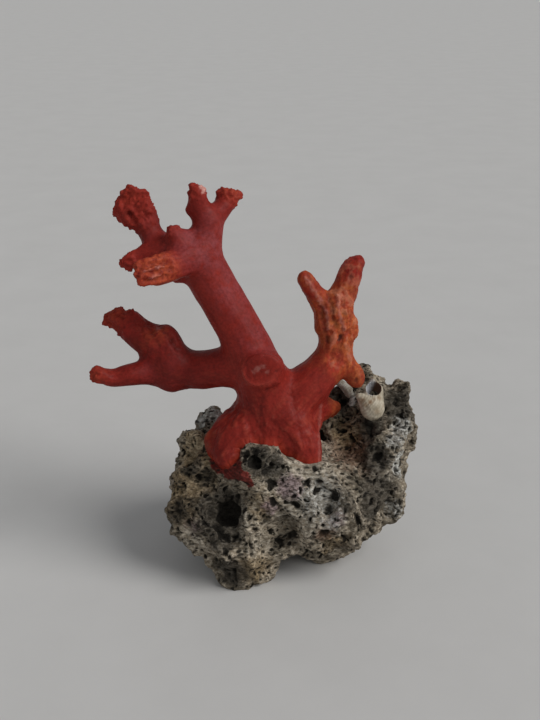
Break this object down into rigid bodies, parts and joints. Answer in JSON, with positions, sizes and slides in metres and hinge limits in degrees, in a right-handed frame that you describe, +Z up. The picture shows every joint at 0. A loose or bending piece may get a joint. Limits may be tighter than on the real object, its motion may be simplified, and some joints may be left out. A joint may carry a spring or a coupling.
{
  "type": "red coral branch",
  "caption": "Branch of red coral grown on a piece of porous stone, with ragged tips, a cut stub, a small snail shell and a worm tube beside its foot.",
  "frame": {"origin": "middle of the bounding box seen from above, at the level of the surface that the stone stands on", "axes": "+Z up; -Y towards the side that the picture shows; +X to the right of the picture"},
  "size_m": [0.0738, 0.0434, 0.0891],
  "materials": {
    "coral_red": "dull waxy coral, finely striped along its growth",
    "coral_orange": "dull knobbly coral",
    "shell_cream": "dull chalky shell",
    "stone_grey": "rough porous stone"
  },
  "bodies": {
    "root": {"trunk": "coral_red", "main_branch": "coral_red", "crown_fork": "coral_red", "crown_paddle": "coral_red", "crown_twig": "coral_red", "crown_fan": "coral_red", "left_branch": "coral_red", "left_upper_tip": "coral_red", "left_lower_tip": "coral_red", "right_branch": "coral_orange", "right_inner_tip": "coral_orange", "right_outer_tip": "coral_orange", "side_bud": "coral_orange", "snail_shell": "shell_cream", "worm_tube": "shell_cream", "stone": "stone_grey"}
  },
  "joints": []
}
